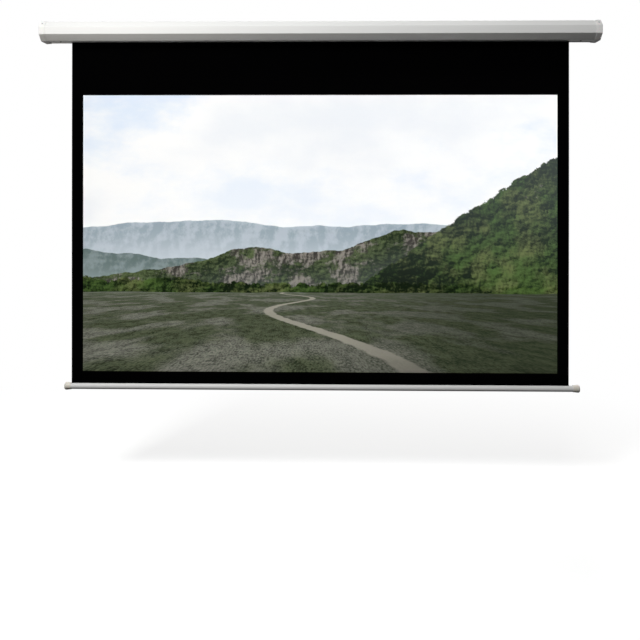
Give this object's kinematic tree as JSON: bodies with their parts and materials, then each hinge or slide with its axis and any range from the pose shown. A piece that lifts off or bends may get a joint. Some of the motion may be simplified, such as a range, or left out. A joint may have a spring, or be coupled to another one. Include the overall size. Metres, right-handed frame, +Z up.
{
  "type": "pull down projector screen",
  "caption": "Wall-hung pull-down projector screen: six-sided case with end caps, locking spring roller, black-masked matte fabric and a round bottom bar",
  "frame": {"origin": "the middle of the case's flat back, where it lies against the wall", "axes": "+X along the case to the viewer's right, +Y into the wall, +Z up"},
  "size_m": [2.5806, 0.0928, 1.7214],
  "materials": {
    "white_paint": "satin white powder coat on the rolled steel case",
    "white_bar_paint": "satin white paint on the steel tube",
    "white_plastic": "moulded, fine satin grain",
    "cream_plastic": "moulded, slightly glossy, off-white",
    "zinc_plate": "bright zinc plated pressing",
    "black_oxide": "blackened screw steel",
    "bare_aluminium": "mill finish, drawn lengthways",
    "spring_steel": "oiled spring steel",
    "cast_zinc": "die-cast zinc, slightly rough",
    "white_nylon": "turned nylon",
    "grey_plastic": "extruded plastic",
    "matte_white": "matte white coated glass-fibre weave",
    "black_coat": "matte black printed coat"
  },
  "bodies": {
    "case": {"case_shell": "white_paint", "end_cap_left": "white_plastic", "end_cap_right": "white_plastic", "cap_screw_left": "zinc_plate", "cap_screw_right": "zinc_plate", "hang_plate_left": "zinc_plate", "hang_plate_right": "zinc_plate", "bracket_left": "zinc_plate", "bracket_right": "zinc_plate", "bracket_screw_left": "black_oxide", "bracket_screw_right": "black_oxide", "idle_bush": "white_nylon", "spindle": "zinc_plate", "lock_hub": "cast_zinc", "spring_anchor": "cast_zinc", "roller_spring": "spring_steel", "screen_fabric": "matte_white", "mask_drop": "black_coat", "mask_left": "black_coat", "mask_right": "black_coat", "mask_foot": "black_coat"},
    "roller": {"roller_tube": "bare_aluminium", "roller_spline": "grey_plastic", "fabric_roll": "black_coat", "spring_plug": "cast_zinc", "lock_plate": "cast_zinc", "pawl_pin_upper": "zinc_plate", "pawl_pin_lower": "zinc_plate", "idle_plug": "grey_plastic", "idle_pin": "zinc_plate"},
    "upper_pawl": {"pawl_upper": "spring_steel"},
    "lower_pawl": {"pawl_lower": "spring_steel"},
    "bottom_bar": {"bottom_tube": "white_bar_paint", "bar_cap_left": "cream_plastic", "bar_cap_right": "cream_plastic", "hem_rod": "grey_plastic"}
  },
  "joints": [
    {"name": "screen_drop", "type": "slide", "parent": "case", "child": "bottom_bar", "axis": [0, 0, 1], "range_m": [0, 1.59], "deforming": ["screen_fabric", "mask_drop", "mask_left", "mask_right", "mask_foot"]},
    {"name": "roller_turn", "type": "hinge", "parent": "case", "child": "roller", "pos_m": [0, -0.046, 0.002], "axis": [1, 0, 0], "range_deg": [0, 3465]},
    {"name": "upper_pawl_swing", "type": "hinge", "parent": "roller", "child": "upper_pawl", "pos_m": [1.1785, -0.046, 0.018], "axis": [-1, 0, 0], "range_deg": [0, 25]},
    {"name": "lower_pawl_swing", "type": "hinge", "parent": "roller", "child": "lower_pawl", "pos_m": [1.1785, -0.046, -0.014], "axis": [1, 0, 0], "range_deg": [0, 25]}
  ],
  "couplings": [
    {"joint": "roller_turn", "follows": "screen_drop", "rad_per_m": 38}
  ]
}
